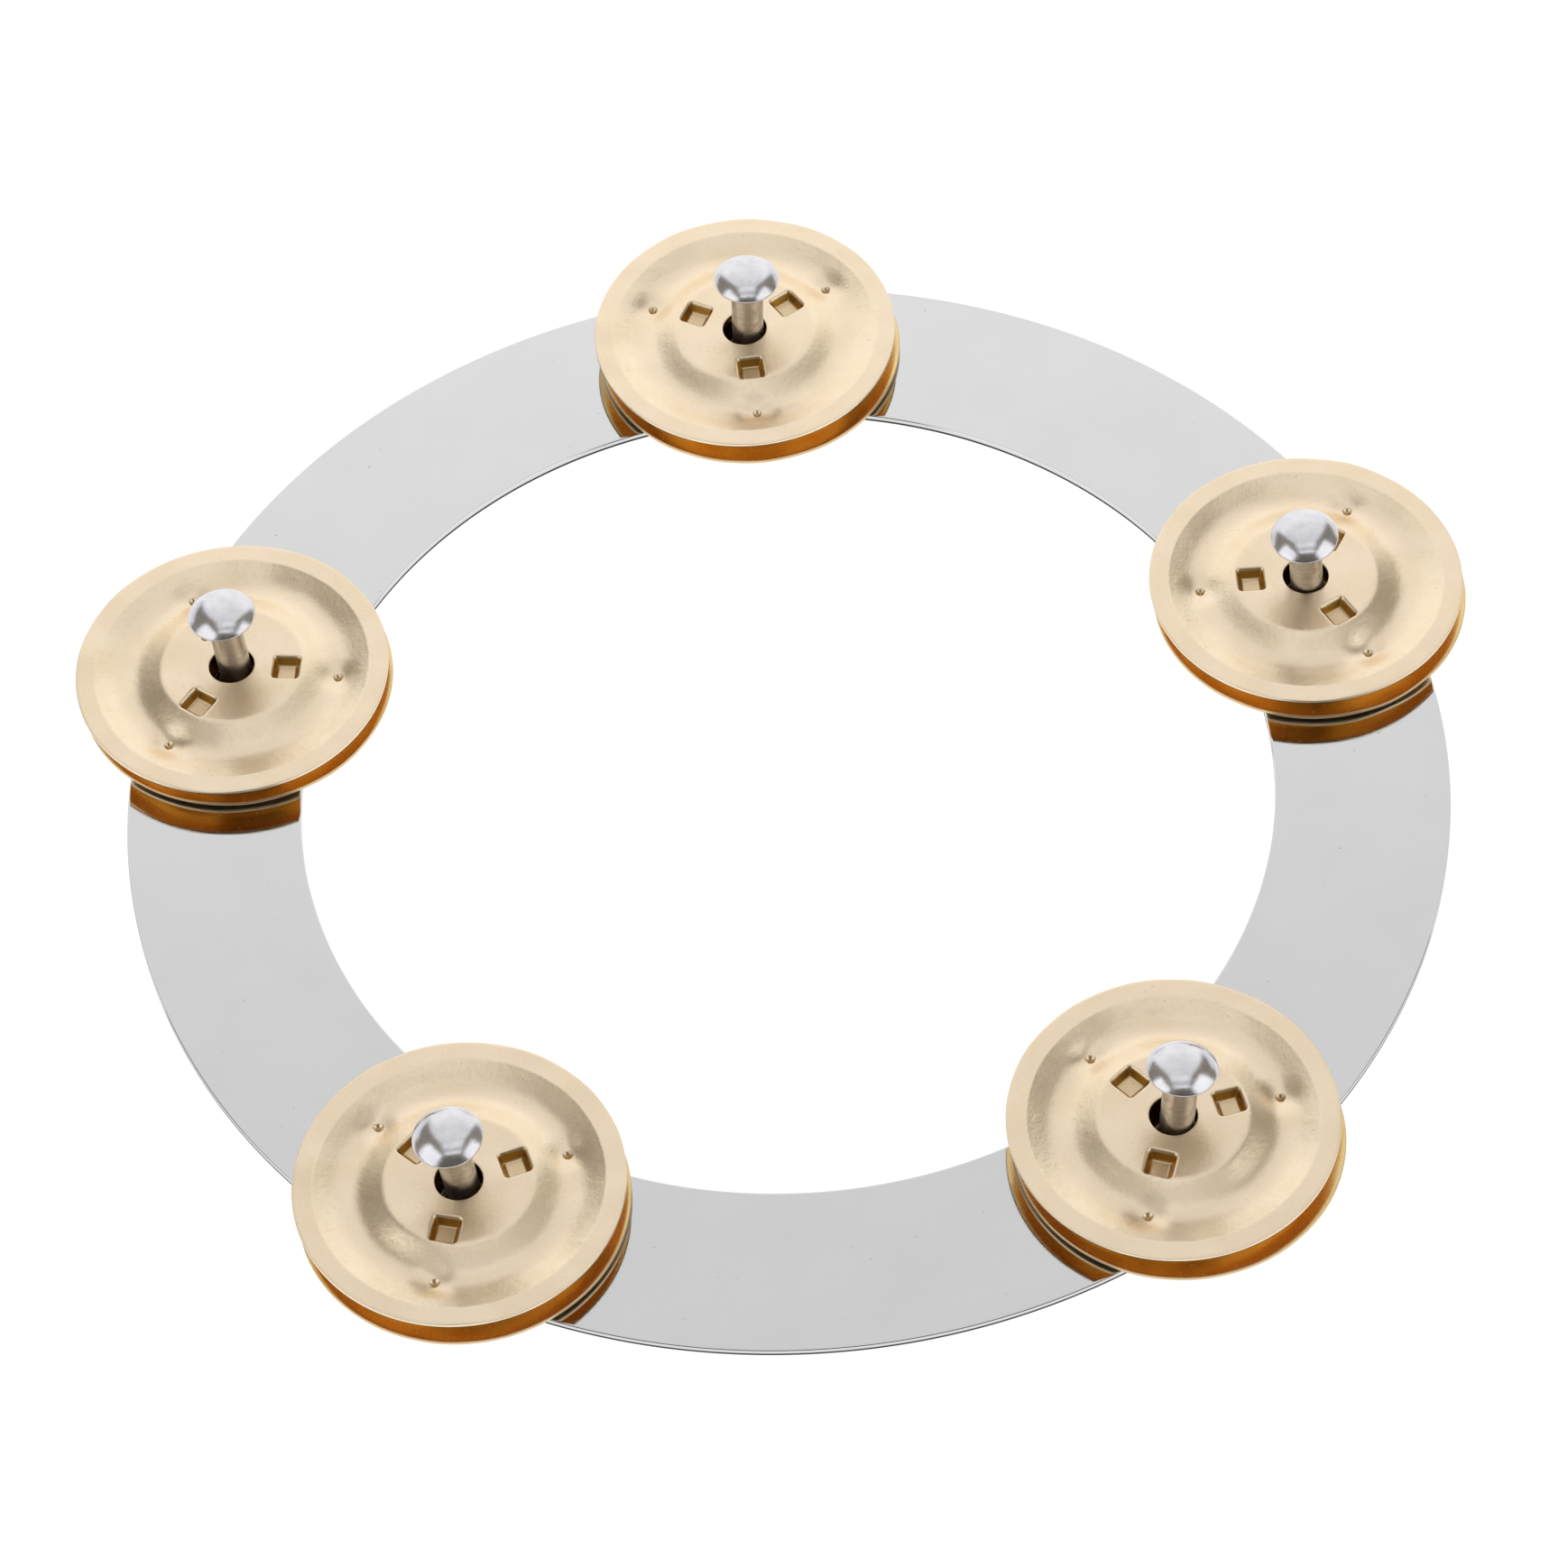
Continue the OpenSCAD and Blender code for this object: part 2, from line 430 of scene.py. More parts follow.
def steel_material(thickness):
    """Mirror-polished sheet with faint straight scratches. Its cut edges are rougher in their lower, torn
    part, and painted nearly black there as shade.
    The thickness is in metres."""
    n = Nodes("mirror_steel")
    z = n.parts()["Z"]
    clouds = n.noise(per_metre(9.0), detail=3.0)
    stretched = n.add("ShaderNodeMapping", Vector=n.place)
    stretched.inputs["Scale"].default_value = (0.04, 1.0, 1.0)
    stretched.inputs["Rotation"].default_value = (0.0, 0.0, math.radians(35))
    scratches = n.noise(per_metre(0.35), detail=3.0, roughness=0.65, place=stretched.outputs[0])
    specks = n.ramp(n.noise(per_metre(0.8), detail=2.0), 0.74, 0.80)
    torn_and_shaded = n.both(
        n.ramp(z, 0.38 * thickness, 0.50 * thickness, 1.0, 0.0),
        n.ramp(z, 0.0, 0.03 * thickness),
    )
    clean = n.mix(n.ramp(clouds, 0.35, 0.7), (0.68, 0.68, 0.68, 1.0), (0.665, 0.667, 0.67, 1.0))
    marked = n.mix(n.maths("MULTIPLY", specks, 0.5), clean, (0.36, 0.34, 0.31, 1.0))
    # Painted shade: the lower part of the walls is coloured nearly black; its added roughness is real
    colour = n.mix(torn_and_shaded, marked, (0.05, 0.048, 0.045, 1.0))
    polish = n.ramp(scratches, 0.35, 0.75, 0.035, 0.11)
    roughness = n.maths("ADD", polish, n.maths("MULTIPLY", torn_and_shaded, 0.45))
    n.set(Base_Color=colour, Metallic=1.0, Roughness=roughness, Normal=n.bump(scratches, 0.0012))
    return n.material


def head_material():
    """Polished aluminium with fine scuffs."""
    n = Nodes("polished_aluminium")
    clouds = n.noise(per_metre(1.6), detail=3.0)
    scuffs = n.noise(per_metre(0.25), detail=3.0, roughness=0.65)
    colour = n.mix(n.ramp(clouds, 0.35, 0.7), (0.735, 0.73, 0.762, 1.0), (0.655, 0.65, 0.688, 1.0))
    n.set(Base_Color=colour, Metallic=1.0, Roughness=n.ramp(scuffs, 0.3, 0.75, 0.15, 0.25))
    n.set(Normal=n.bump(scuffs, 0.004))
    return n.material


def shank_material():
    """Drawn aluminium with fine rings around it, scuffed and stained where the jingles slide."""
    n = Nodes("drawn_aluminium")
    rings = n.noise(per_metre(0.22), detail=3.0, roughness=0.7, place=n.along(Z=n.parts()["Z"]))
    clouds = n.noise(per_metre(1.2), detail=3.0)
    scuffs = n.noise(per_metre(0.3), detail=4.0, roughness=0.65)
    colour = n.mix(n.ramp(rings, 0.35, 0.7), (0.80, 0.76, 0.70, 1.0), (0.56, 0.53, 0.48, 1.0))
    colour = n.mix(n.ramp(clouds, 0.5, 0.75, 0.0, 0.6), colour, (0.42, 0.37, 0.31, 1.0))
    n.set(Base_Color=colour, Metallic=1.0, Roughness=n.ramp(clouds, 0.3, 0.7, 0.28, 0.42))
    n.set(Normal=n.bump(scuffs, 0.010, under=n.bump(rings, 0.008)))
    return n.material


def floor_material():
    """Matt paper that glows a little, so that it stays white right up to the object."""
    n = Nodes("floor_white")
    colour = n.mix(n.noise(2.0), (0.24, 0.24, 0.24, 1.0), (0.26, 0.26, 0.26, 1.0))
    n.set(Base_Color=colour, Roughness=1.0, Specular_IOR_Level=0.0)
    n.set(Emission_Color=WHITE, Emission_Strength=0.93)
    return n.material


# ---------------------------------------------------------------- jingles


def dish_height(radius):
    """Height of the hub, the groove and the rim over the rim's plane, with the two creases rounded."""
    nodes = (
        (HUB_RADIUS - 0.35, HUB_RISE, 0.0),
        (HUB_RADIUS + 0.4, HUB_RISE - 0.15, -0.44),
        (GROOVE_RADIUS - 1.7, 0.34 - GROOVE_DEPTH, -0.44),
        (GROOVE_RADIUS, -GROOVE_DEPTH, 0.0),
        (GROOVE_RADIUS + 2.0, 0.42 - GROOVE_DEPTH, 0.41),
        (RIM_RADIUS - 0.2, -0.06, 0.38),
        (RIM_RADIUS + 0.14, 0.0, 0.0),
    )
    return smooth_curve(nodes, radius)


def pocket_height(distance):
    """Depth of a pocket by the distance outside its mouth's outline."""
    nodes = (
        (-0.80, -POCKET_DEPTH, 0.0),
        (-0.66, 0.10 - POCKET_DEPTH, 1.5),
        (-0.14, -0.20, 1.75),
        (0.22, 0.0, 0.0),
    )
    return smooth_curve(nodes, distance)


def pit_height(distance, depth):
    """Depth of a pit by the distance from its middle."""
    nodes = (
        (0.0, -depth, 0.0),
        (0.2, -0.72 * depth, 2.1 * depth),
        (0.52, -0.08 * depth, 1.4 * depth),
        (0.68, 0.0, 0.0),
    )
    return smooth_curve(nodes, distance)


def depression_height(distance):
    """Depth of the broad depression around a pit, which only the cup side shows."""
    sag = (1 + np.cos(np.pi * np.clip(distance / DEPRESSION_REACH, 0, 1))) / 2
    return -DEPRESSION_DEPTH * sag**1.3


def mark_frame(points, k, radius):
    """Points seen from mark k: outward and sideways distances from its middle."""
    angle = k * TURN / MARKS
    out = points[:, 0] * math.cos(angle) + points[:, 1] * math.sin(angle) - radius
    side = points[:, 1] * math.cos(angle) - points[:, 0] * math.sin(angle)
    return out, side


def outline_distance(points, k):
    """How far points are outside the rounded square mouth of pocket k."""
    out, side = mark_frame(points, k, POCKET_RADIUS)
    core = POCKET_HALF - POCKET_CORNER
    over_out = np.abs(out) - core
    over_side = np.abs(side) - core
    beyond = np.hypot(np.maximum(over_out, 0), np.maximum(over_side, 0))
    return beyond + np.minimum(np.maximum(over_out, over_side), 0) - POCKET_CORNER


def sheet_heights(points):
    """Heights of a jingle's cup side and of its back over its rim's plane, marks included."""
    cup = dish_height(np.hypot(points[:, 0], points[:, 1]))
    for k in range(MARKS):
        cup = cup + pocket_height(outline_distance(points, k))
    back = cup - SHEET
    for k in range(MARKS):
        distance = np.hypot(*mark_frame(points, k, PIT_RADIUS))
        cup = cup + pit_height(distance, PIT_DEPTH) + depression_height(distance)
        back = back + pit_height(distance, BOSS_HEIGHT)
    return cup, back


def rounded_square(half, corner, per_side=14, per_corner=6):
    """Points around a square with rounded corners, counter-clockwise."""
    core = half - corner
    points = []
    for quarter in range(4):
        middle = math.radians(45 + 90 * quarter)
        centre = Vector((math.copysign(core, math.cos(middle)), math.copysign(core, math.sin(middle))))
        for step in range(per_corner):
            angle = math.radians(90 * (quarter + step / per_corner))
            points.append(centre + Vector((math.cos(angle), math.sin(angle))) * corner)
        angle = math.radians(90 * (quarter + 1))
        start = centre + Vector((math.cos(angle), math.sin(angle))) * corner
        along = Vector((-math.sin(angle), math.cos(angle))) * 2 * core
        points += [start + along * step / per_side for step in range(per_side)]
    return np.array([tuple(p) for p in points])


def mark_points(local, k, radius):
    """Points given around mark k's middle, moved to the disc's plan."""
    angle = k * TURN / MARKS
    out = local[:, 0] + radius
    side = local[:, 1]
    x = out * math.cos(angle) - side * math.sin(angle)
    y = out * math.sin(angle) + side * math.cos(angle)
    return np.stack([x, y], axis=1)


def ring_radii(inner, outer):
    """Radii of a disc's own rings of points, which are closer together at the groove's two creases."""
    return np.concatenate([
        np.arange(inner + 0.3, HUB_RADIUS - 0.3, 0.45),
        np.arange(HUB_RADIUS - 0.25, HUB_RADIUS + 0.5, 0.1),
        np.arange(HUB_RADIUS + 0.7, RIM_RADIUS - 0.6, 0.32),
        np.arange(RIM_RADIUS - 0.4, RIM_RADIUS + 0.3, 0.1),
        np.arange(RIM_RADIUS + 0.5, outer - 0.2, 0.4),
    ])


def pocket_points(k):
    """Plan points on rounded squares around the middle of pocket k, from outside its mouth inwards."""
    loops = []
    for offset in np.arange(POCKET_REACH, -POCKET_HALF + 0.1, -0.09):
        half = POCKET_HALF + offset
        corner = min(max(POCKET_CORNER + offset, 0.02), half * 0.98)
        loops.append(mark_points(rounded_square(half, corner), k, POCKET_RADIUS))
    return loops + [mark_points(np.zeros((1, 2)), k, POCKET_RADIUS)]


def pit_points(k):
    """Plan points on circles around the middle of pit k, from the inside outwards."""
    radii = np.concatenate([np.arange(0.06, 0.76, 0.06), np.arange(0.84, PIT_REACH, 0.14)])
    loops = [mark_points(circle(r, PIT_SEGMENTS), k, PIT_RADIUS) for r in radii]
    return loops + [mark_points(np.zeros((1, 2)), k, PIT_RADIUS)]


def disc_plan():
    """Plan points and triangles of a jingle's sheet. The hole's loop comes first, and then the rim's."""
    inner = HOLE_RADIUS + EDGE_ROUND
    outer = JINGLE_RADIUS - EDGE_ROUND
    hole_loop = circle(inner, DISC_SEGMENTS)
    rim_loop = circle(outer, DISC_SEGMENTS)
    rings = np.concatenate([circle(r, DISC_SEGMENTS) for r in ring_radii(inner, outer)])
    clear = np.ones(len(rings), bool)
    marks = []
    for k in range(MARKS):
        clear &= outline_distance(rings, k) > POCKET_REACH + 0.1
        clear &= np.hypot(*mark_frame(rings, k, PIT_RADIUS)) > PIT_REACH + 0.1
        marks += pocket_points(k) + pit_points(k)
    points = np.concatenate([hole_loop, rim_loop, rings[clear], *marks])
    triangles = triangulate(points)
    in_hole = (triangles < DISC_SEGMENTS).all(axis=1)
    return points, triangles[~in_hole]


def unevenness(points, seed):
    """Slow waves left in a thin pressed sheet, different on each jingle."""
    random = np.random.RandomState(seed)
    height = np.zeros(len(points))
    for _ in range(WAVES):
        direction = random.uniform(0, TURN)
        length = random.uniform(*WAVE_LENGTHS)
        phase = random.uniform(0, TURN)
        along = points[:, 0] * math.cos(direction) + points[:, 1] * math.sin(direction)
        height += WAVE_HEIGHT * length / WAVE_LENGTHS[1] * np.sin(TURN * along / length + phase)
    return height


def edge_loops(loop, radius, outward, top, bottom):
    """Loops of points down a sheet's edge, from its top face to its bottom one, both corners rounded.
    top and bottom hold each point's heights. outward is 1 for the rim and -1 for the hole."""
    unit = loop / np.hypot(loop[:, 0], loop[:, 1])[:, None]
    # How far out and how far down each loop lies, with the rounding as the unit
    whole = SHEET / EDGE_ROUND
    steps = ((0.6, 0.18), (1.0, 0.8), (1.0, whole - 0.8), (0.6, whole - 0.18))
    result = []
    for out, down in steps:
        plan = unit * (radius + outward * EDGE_ROUND * (out - 1.0))
        result.append(np.column_stack([plan, top + (bottom - top) * down / whole]))
    return result


def jingle_mesh(plan, seed, cup_up):
    """Vertices, faces and material slots of one jingle around its own middle, in millimetres.
    Its rim's plane is at zero, and slot 1 is its back."""
    points, triangles = plan
    cup, back = sheet_heights(points) + unevenness(points, seed)
    count = len(points)
    vertices = [np.column_stack([points, cup]), np.column_stack([points, back])]
    faces = [tuple(f) for f in triangles] + [tuple(f[::-1] + count) for f in triangles]
    start = 2 * count
    for first, radius, outward in ((0, HOLE_RADIUS, -1.0), (DISC_SEGMENTS, JINGLE_RADIUS, 1.0)):
        ids = np.arange(first, first + DISC_SEGMENTS)
        loops = [list(ids)]
        for ring in edge_loops(points[ids], radius, outward, cup[ids], back[ids]):
            vertices.append(ring)
            loops.append(list(range(start, start + DISC_SEGMENTS)))
            start += DISC_SEGMENTS
        loops.append(list(ids + count))
        quads = bridge(loops)
        faces += [q[::-1] for q in quads] if outward > 0 else quads
    vertices = np.concatenate(vertices)
    if not cup_up:
        vertices[:, 2] *= -1
        faces = [f[::-1] for f in faces]
    slots = np.zeros(len(faces), int)
    slots[len(triangles):2 * len(triangles)] = 1
    return vertices, faces, slots


def place_jingle(node, plan, seed, turn, cup_up, brasses):
    """One jingle in the place of its CAD node, turned by so many degrees."""
    low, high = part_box(node)
    middle = (low + high) / 2
    rim_height = high.z - HUB_RISE * MM if cup_up else low.z + HUB_RISE * MM
    vertices, faces, slots = jingle_mesh(plan, seed, cup_up)
    turned = Matrix.Rotation(math.radians(turn), 3, "Z")
    points = vertices @ np.array(turned).T
    obj = link_mesh(node + "_disc", points * MM, faces, brasses, sharp_angle=50.0, slots=slots)
    obj.location = (middle.x, middle.y, rim_height)
    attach(obj, node)
    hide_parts(node)


def build_jingles():
    plan = disc_plan()
    brasses = [brass_material(), inner_brass_material()]
    for i in range(1, STACKS + 1):
        place_jingle(f"upper_jingle_{i}", plan, UPPER_SEED + i, UPPER_TURNS[i - 1], True, brasses)
        place_jingle(f"lower_jingle_{i}", plan, LOWER_SEED + i, LOWER_TURNS[i - 1], False, brasses)


# ---------------------------------------------------------------- ring


def wall_loops(loop, centre, outward, thickness):
    """Loops down one round wall of the ring, from the top face to the bottom one, with rounded edges.
    The first and last lie a little inside the faces, so that the rounding doesn't shade them."""
    radius = np.hypot(*(loop[0] - centre))
    unit = (loop - centre) / radius
    # How far inside the wall and under the face each loop lies, with the bevel as the unit
    rounding = ((1.6, 0.0), (1.0, 0.0), (0.4, 0.15), (0.0, 0.6))
    levels = [(inset, thickness - down * RING_BEVEL) for inset, down in rounding]
    levels += [(inset, down * RING_BEVEL) for inset, down in reversed(rounding)]
    loops = []
    for inset, height in levels:
        plan = centre + unit * (radius - outward * inset * RING_BEVEL)
        loops.append(np.column_stack([plan, np.full(len(loop), height)]))
    return loops


def ring_walls(outer, opening):
    """The ring's round walls, the outer one first.
    Each is its loop, its centre and the way it faces: 1 outwards or -1 inwards."""
    middle = np.zeros(2)
    walls = [(circle(outer, RING_SEGMENTS), middle, 1.0), (circle(opening, OPENING_SEGMENTS), middle, -1.0)]
    for i in range(1, STACKS + 1):
        foot = np.array(stack_point(i))
        walls.append((circle(TENON_RADIUS, RIVET_HOLE_SEGMENTS, foot), foot, -1.0))
    return walls


def flat_triangles(plan, wall_numbers):
    """Triangles of the ring's flat face, without those that lie inside one of its holes."""
    triangles = triangulate(plan)
    corners = wall_numbers[triangles]
    on_several_walls = (corners != corners[:, :1]).any(axis=1)
    on_outer_wall = corners[:, 0] == 0
    return triangles[on_several_walls | on_outer_wall]


def ring_mesh(outer, opening, thickness):
    """Vertices and faces of the ring, in millimetres, its underside at zero."""
    vertices, sides, top_ids, bottom_ids, wall_numbers = [], [], [], [], []
    start = 0
    for number, (loop, centre, outward) in enumerate(ring_walls(outer, opening)):
        ids = []
        for ring in wall_loops(loop, centre, outward, thickness):
            vertices.append(ring)
            ids.append(list(range(start, start + len(loop))))
            start += len(loop)
        quads = bridge(ids)
        sides += [q[::-1] for q in quads] if outward > 0 else quads
        top_ids += ids[0]
        bottom_ids += ids[-1]
        wall_numbers += [number] * len(loop)
    vertices = np.concatenate(vertices)
    top_ids, bottom_ids = np.array(top_ids), np.array(bottom_ids)
    triangles = flat_triangles(vertices[top_ids][:, :2], np.array(wall_numbers))
    top = [tuple(top_ids[t]) for t in triangles]
    bottom = [tuple(bottom_ids[t[::-1]]) for t in triangles]
    return vertices, top + bottom + sides


def build_ring():
    low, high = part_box("ring")
    thickness = (high.z - low.z) / MM
    outer = (high.x - low.x) / 2 / MM
    opening = next(m for m in frame["record"]["mounts"] if m["name"] == "opening")["dims"]["r_mm"]
    vertices, faces = ring_mesh(outer, opening, thickness)
    obj = link_mesh("ring_plate", vertices * MM, faces, [steel_material(thickness * MM)], sharp_angle=30.0)
    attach(obj, "ring_and_rivets")
    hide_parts("ring")


# ---------------------------------------------------------------- rivets


def lathe(profile, axis):
    """Vertices and faces of a profile turned about an axis through the origin, in millimetres.
    The profile's points are (radius, height), from the bottom up."""
    turn = Vector((0, 0, 1)).rotation_difference(axis).to_matrix()
    vertices, loops, faces = [], [], []
    for radius, height in profile:
        start = len(vertices)
        if radius < 1e-6:
            vertices.append(turn @ Vector((0, 0, height)))
            loops.append([start])
            continue
        for x, y in circle(radius, RIVET_SEGMENTS):
            vertices.append(turn @ Vector((x, y, height)))
        loops.append(list(range(start, start + RIVET_SEGMENTS)))
    for a, b in zip(loops, loops[1:]):
        for s in range(RIVET_SEGMENTS):
            t = (s + 1) % RIVET_SEGMENTS
            if len(a) == 1:
                faces.append((a[0], b[t], b[s]))
            elif len(b) == 1:
                faces.append((a[s], a[t], b[0]))
            else:
                faces.append((a[s], a[t], b[t], b[s]))
    return vertices, faces


def arc(centre, radius, start, end, steps):
    """Points of an arc in a profile, angles in degrees from the outward direction."""
    angles = [math.radians(start + (end - start) * s / steps) for s in range(steps + 1)]
    return [(centre[0] + radius * math.cos(a), centre[1] + radius * math.sin(a)) for a in angles]


def foot_profile(thickness):
    """Peened tail, tenon and collar, from the bottom up, over the ring's top face."""
    under = -thickness
    return [
        (0.0, under - TAIL_HEIGHT),
        (TAIL_FLAT_RADIUS - 0.25, under - TAIL_HEIGHT),
        (TAIL_FLAT_RADIUS, under - TAIL_HEIGHT + 0.06),
        (TAIL_RADIUS - 0.25, under - 0.35),
        (TAIL_RADIUS, under - 0.16),
        (TAIL_RADIUS, under - 0.04),
        (TAIL_RADIUS - 0.04, under),
        (TENON_RADIUS, under),
        (TENON_RADIUS, 0.0),
        (COLLAR_RADIUS, 0.0),
        (COLLAR_RADIUS, COLLAR_HEIGHT - 0.12),
        (COLLAR_RADIUS - 0.12, COLLAR_HEIGHT),
        (0.0, COLLAR_HEIGHT),
    ]


def shank_profile():
    """Shank and underside of the head, from inside the collar up, over the ring's top face."""
    straight = STAND_HEIGHT - SHANK_ROOT - COLLAR_HEIGHT
    heights = [COLLAR_HEIGHT + straight * s / SHANK_STEPS for s in range(1, SHANK_STEPS + 1)]
    return [
        (0.0, COLLAR_HEIGHT / 2),
        (SHANK_RADIUS, COLLAR_HEIGHT / 2),
        *[(SHANK_RADIUS, height) for height in heights],
        (SHANK_RADIUS + 0.06, STAND_HEIGHT - 0.2),
        (SHANK_RADIUS + 0.25, STAND_HEIGHT),
        (HEAD_RADIUS - 0.4, STAND_HEIGHT),
    ]


def dome_profile():
    """The head's dome, from its edge to its middle."""
    base = STAND_HEIGHT + HEAD_EDGE
    shares = [DOME_START * (1 - s / DOME_STEPS) for s in range(DOME_STEPS)]
    dome = [(HEAD_RADIUS * share, base + DOME_HEIGHT * (1 - share**DOME_POWER)) for share in shares]
    return dome + [(0.0, base + DOME_HEIGHT)]


def stem_profile():
    """One profile in two parts: the dull shank and underside of the head, and the polished rest."""
    edge = arc((HEAD_RADIUS - HEAD_ROUND, STAND_HEIGHT + HEAD_ROUND), HEAD_ROUND, -90, 48, 9)
    dull = len(edge) * 2 // 3
    return shank_profile() + edge[:dull], edge[dull:] + dome_profile()


def rivet_mesh(axis, thickness):
    """Vertices, faces and material slots of a rivet around its foot, in millimetres.
    Its foot is upright, and its shank and head lean along axis. Slot 0 is the polished part."""
    stem, cap = stem_profile()
    foot_vertices, foot_faces = lathe(foot_profile(thickness), Vector((0, 0, 1)))
    stem_vertices, stem_faces = lathe(stem + cap, axis)
    dull_faces = (len(stem) - 1) * RIVET_SEGMENTS
    slots = [1] * (len(foot_faces) + dull_faces) + [0] * (len(stem_faces) - dull_faces)
    offset = len(foot_vertices)
    faces = foot_faces + [tuple(v + offset for v in face) for face in stem_faces]
    return np.array([tuple(v) for v in foot_vertices + stem_vertices]), faces, slots


def build_rivets():
    ring_low, ring_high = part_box("ring")
    thickness = (ring_high.z - ring_low.z) / MM
    metals = [head_material(), shank_material()]
    for i in range(1, STACKS + 1):
        low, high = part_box(f"rivet_{i}")
        foot = Vector((*stack_point(i), ring_high.z / MM))
        head_middle = (low + high) / 2 / MM
        head_middle.z = high.z / MM - DOME_HEIGHT - HEAD_EDGE / 2
        axis = (head_middle - foot).normalized()
        vertices, faces, slots = rivet_mesh(axis, thickness)
        obj = link_mesh(f"rivet_{i}_turned", vertices * MM, faces, metals, sharp_angle=35.0, slots=slots)
        obj.location = foot * MM
        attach(obj, "ring_and_rivets")
        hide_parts(f"rivet_{i}")


# ---------------------------------------------------------------- stage


def build_floor():
    half = FLOOR_SIZE / 2
    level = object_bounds()[0][2]
    corners = [(-half, -half, level), (half, -half, level), (half, half, level), (-half, half, level)]
    floor = link_mesh("floor", corners, [(0, 1, 2, 3)], [floor_material()])


def card_material(name, feather, strengths):
    """A light whose edges fade. A card runs from -1 to 1 both ways, with its near end at y = -1.
    feather is how far in it fades: sideways, at the near end and at the far end.
    The strengths are up to y = -0.5, at y = 0.15 and at the far end."""
    n = Nodes(name)
    x, y, _ = n.parts()
    sideways, near, far = feather
    glow = n.ramp(n.maths("ABSOLUTE", x), 1.0 - sideways, 1.0, 1.0, 0.0)
    if near > 0:
        glow = n.both(glow, n.ramp(y, -1.0, near - 1.0))
    if far > 0:
        glow = n.both(glow, n.ramp(y, 1.0 - far, 1.0, 1.0, 0.0))
    near_part = n.ramp(y, -0.5, 0.15, strengths[0], strengths[1])
    far_part = n.ramp(y, 0.15, 1.0, 0.0, strengths[2] - strengths[1])
    strength = n.maths("ADD", near_part, far_part)
    light = n.add("ShaderNodeEmission", Strength=strength)
    mix = n.add("ShaderNodeMixShader", Fac=glow)
    n.tree.links.new(n.add("ShaderNodeBsdfTransparent").outputs[0], mix.inputs[1])
    n.tree.links.new(light.outputs[0], mix.inputs[2])
    n.tree.links.new(mix.outputs[0], n.output.inputs["Surface"])
    n.tree.nodes.remove(n.shader)
    return n.material


def build_card(name, near, far, half_width, feather, strengths):
    """A rectangle of light whose middle line runs from the point near to the point far, in millimetres."""
    near, far = Vector(near) * MM, Vector(far) * MM
    along = (far - near) / 2
    facing = (near + far).normalized()
    side = along.cross(facing).normalized() * half_width * MM
    corners = [(-1, -1, 0), (1, -1, 0), (1, 1, 0), (-1, 1, 0)]
    card = link_mesh(name, corners, [(0, 1, 2, 3)], [card_material(name, feather, strengths)])
    axes = Matrix((side, along, side.cross(along))).transposed()
    card.matrix_world = Matrix.Translation((near + far) / 2) @ axes.to_4x4()
    card.visible_camera = False


def build_studio():
    """A scrim from behind the object to overhead, and at each side a box in front and a low wing behind."""
    behind, overhead, over_front = (15, 470, -20), (15, 0, 790), (15, -560, 790)
    build_card("scrim_back", behind, overhead, SCRIM_HALF_WIDTH, (0.3, 0.0, 0.0), (1.13, 0.89, 0.82))
    build_card("scrim_top", overhead, over_front, SCRIM_HALF_WIDTH, (0.3, 0.0, 0.2), (1.0, 0.55, 1.45))
    for side in (-1, 1):
        box_ends = (side * 560, -262, 60), (side * 400, -187, 640)
        build_card(f"side_box_{side + 2}", *box_ends, 330, (0.4, 0.3, 0.4), (1.25, 1.25, 1.25))
        wing_ends = (side * 430, 330, -20), (side * 430, 330, 150)
        build_card(f"back_wing_{side + 2}", *wing_ends, 200, (0.35, 0.0, 0.5), (0.9, 0.9, 0.9))


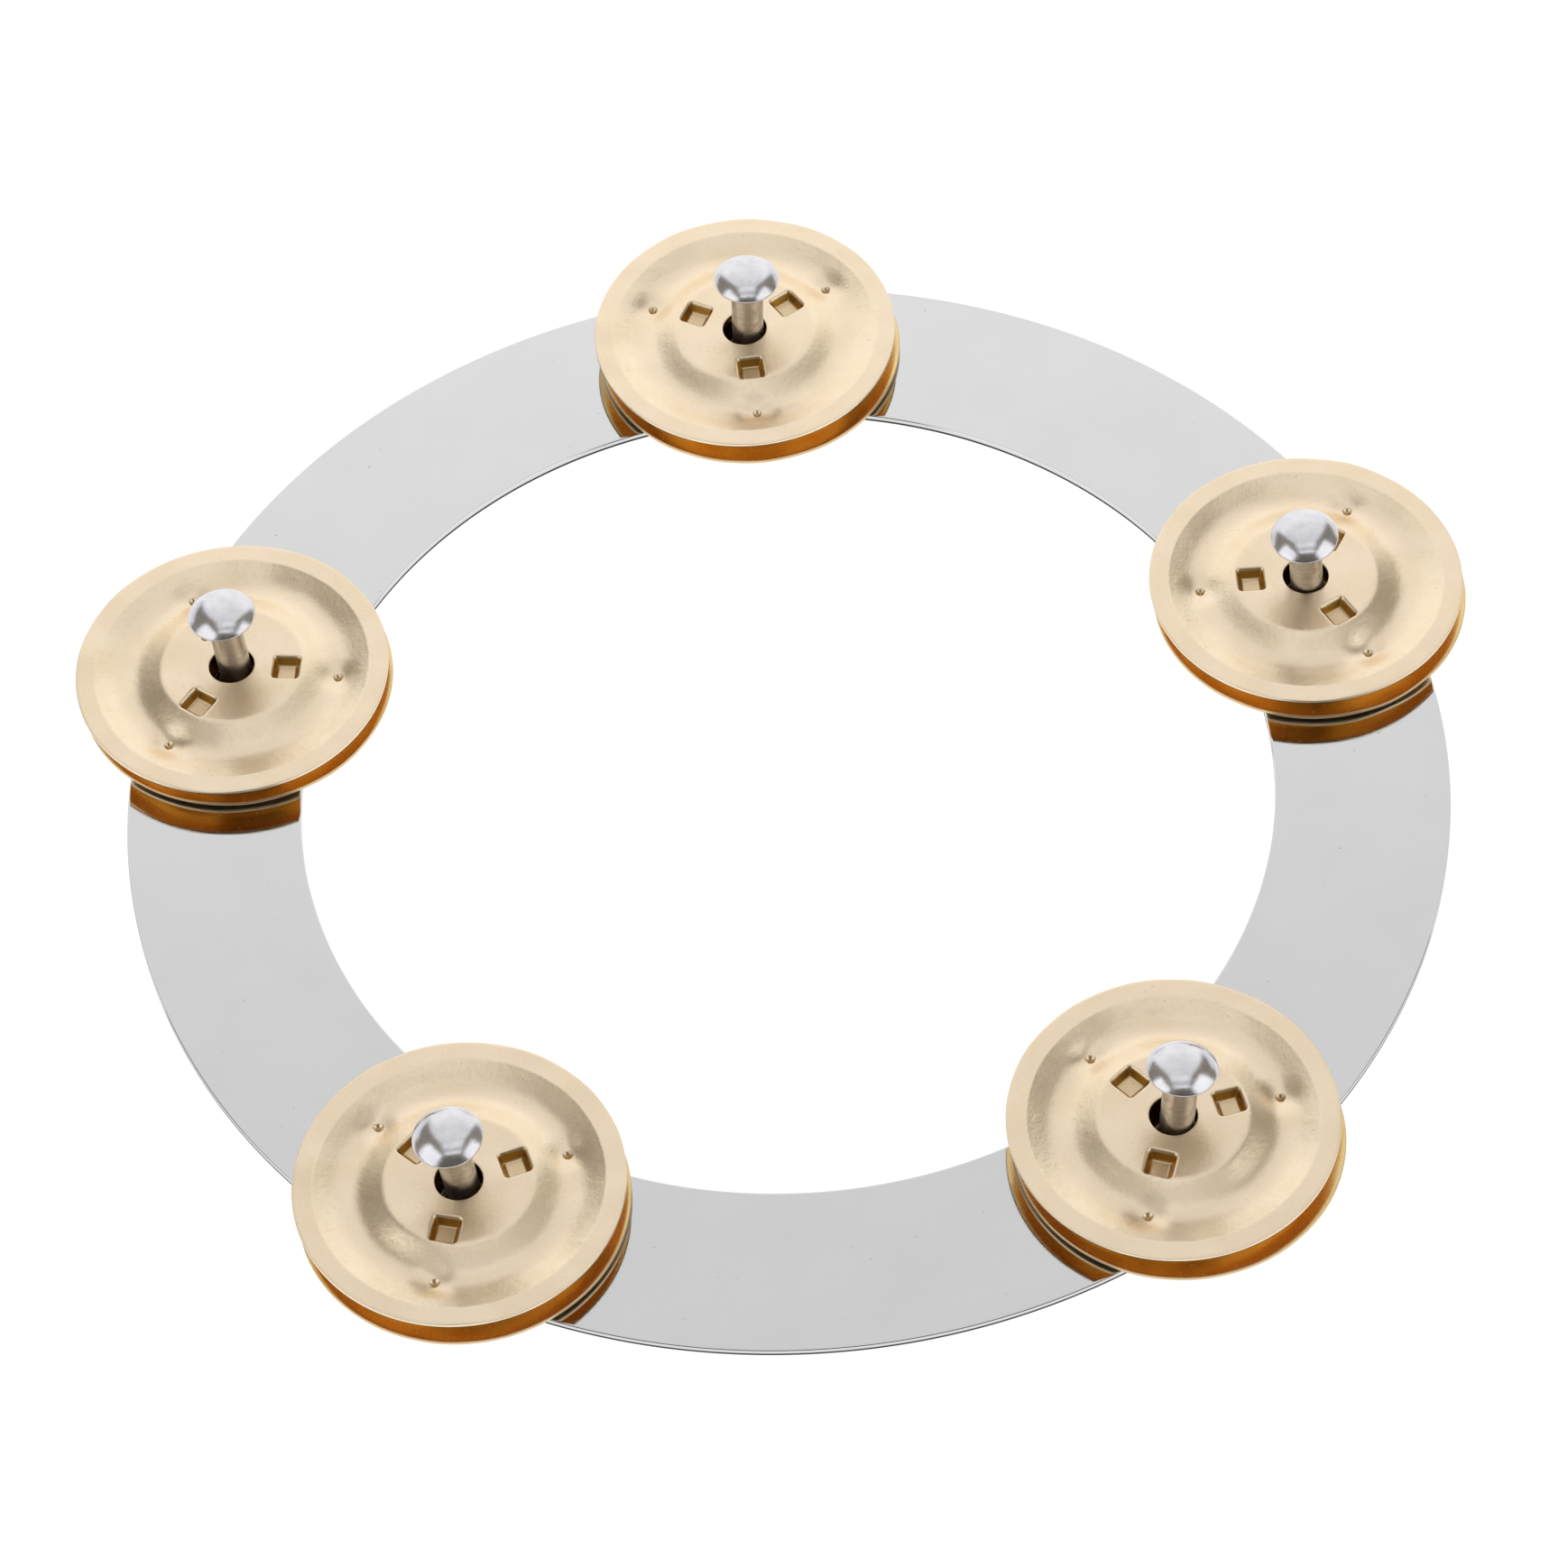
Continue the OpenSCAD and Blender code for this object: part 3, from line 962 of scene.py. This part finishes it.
def build_world():
    """White where the camera looks past the floor. The object gets warm light, dimmer from the front."""
    world = bpy.data.worlds.new("studio")
    bpy.context.scene.world = world
    world.use_nodes = True
    nodes, links = world.node_tree.nodes, world.node_tree.links
    nodes.clear()

    room = nodes.new("ShaderNodeBackground")
    room.inputs["Color"].default_value = ROOM_COLOUR
    direction = nodes.new("ShaderNodeSeparateXYZ")
    links.new(nodes.new("ShaderNodeTexCoord").outputs["Generated"], direction.inputs[0])
    strength = nodes.new("ShaderNodeMapRange")
    limits = {"From Min": -0.7, "From Max": -0.3, "To Min": FRONT_LIGHT, "To Max": ROOM_LIGHT}
    for key, number in limits.items():
        strength.inputs[key].default_value = number
    links.new(direction.outputs["Y"], strength.inputs["Value"])
    links.new(strength.outputs["Result"], room.inputs["Strength"])

    backdrop = nodes.new("ShaderNodeBackground")
    backdrop.inputs["Color"].default_value = WHITE
    mix = nodes.new("ShaderNodeMixShader")
    links.new(nodes.new("ShaderNodeLightPath").outputs["Is Camera Ray"], mix.inputs["Fac"])
    links.new(room.outputs[0], mix.inputs[1])
    links.new(backdrop.outputs[0], mix.inputs[2])
    links.new(mix.outputs[0], nodes.new("ShaderNodeOutputWorld").inputs["Surface"])


def build_camera():
    scene = bpy.context.scene
    elevation, azimuth = math.radians(CAMERA_ELEVATION), math.radians(CAMERA_AZIMUTH)
    across = math.cos(elevation)
    away = Vector((math.sin(azimuth) * across, -math.cos(azimuth) * across, math.sin(elevation)))
    data = bpy.data.cameras.new("camera")
    data.sensor_width = SENSOR_WIDTH
    data.lens = LENS
    data.clip_start = 0.01
    data.clip_end = 20.0
    camera = bpy.data.objects.new("camera", data)
    scene.collection.objects.link(camera)
    right = (-away).cross(Vector((0, 0, 1))).normalized()
    up = right.cross(-away)
    roll = math.radians(CAMERA_ROLL)
    level_right = math.cos(roll) * right + math.sin(roll) * up
    level_up = -math.sin(roll) * right + math.cos(roll) * up
    axes = Matrix((level_right, level_up, away)).transposed()
    camera.matrix_world = Matrix.Translation((Vector(AIM) + away * CAMERA_DISTANCE) * MM) @ axes.to_4x4()
    scene.camera = camera


def build_view():
    """Plain colours, and enough bounces for the gap between two jingles."""
    scene = bpy.context.scene
    scene.view_settings.view_transform = "Standard"
    scene.cycles.max_bounces = BOUNCES
    scene.cycles.glossy_bounces = BOUNCES
    scene.cycles.diffuse_bounces = 3


build_ring()
build_rivets()
build_jingles()
build_floor()
build_studio()
build_world()
build_camera()
build_view()
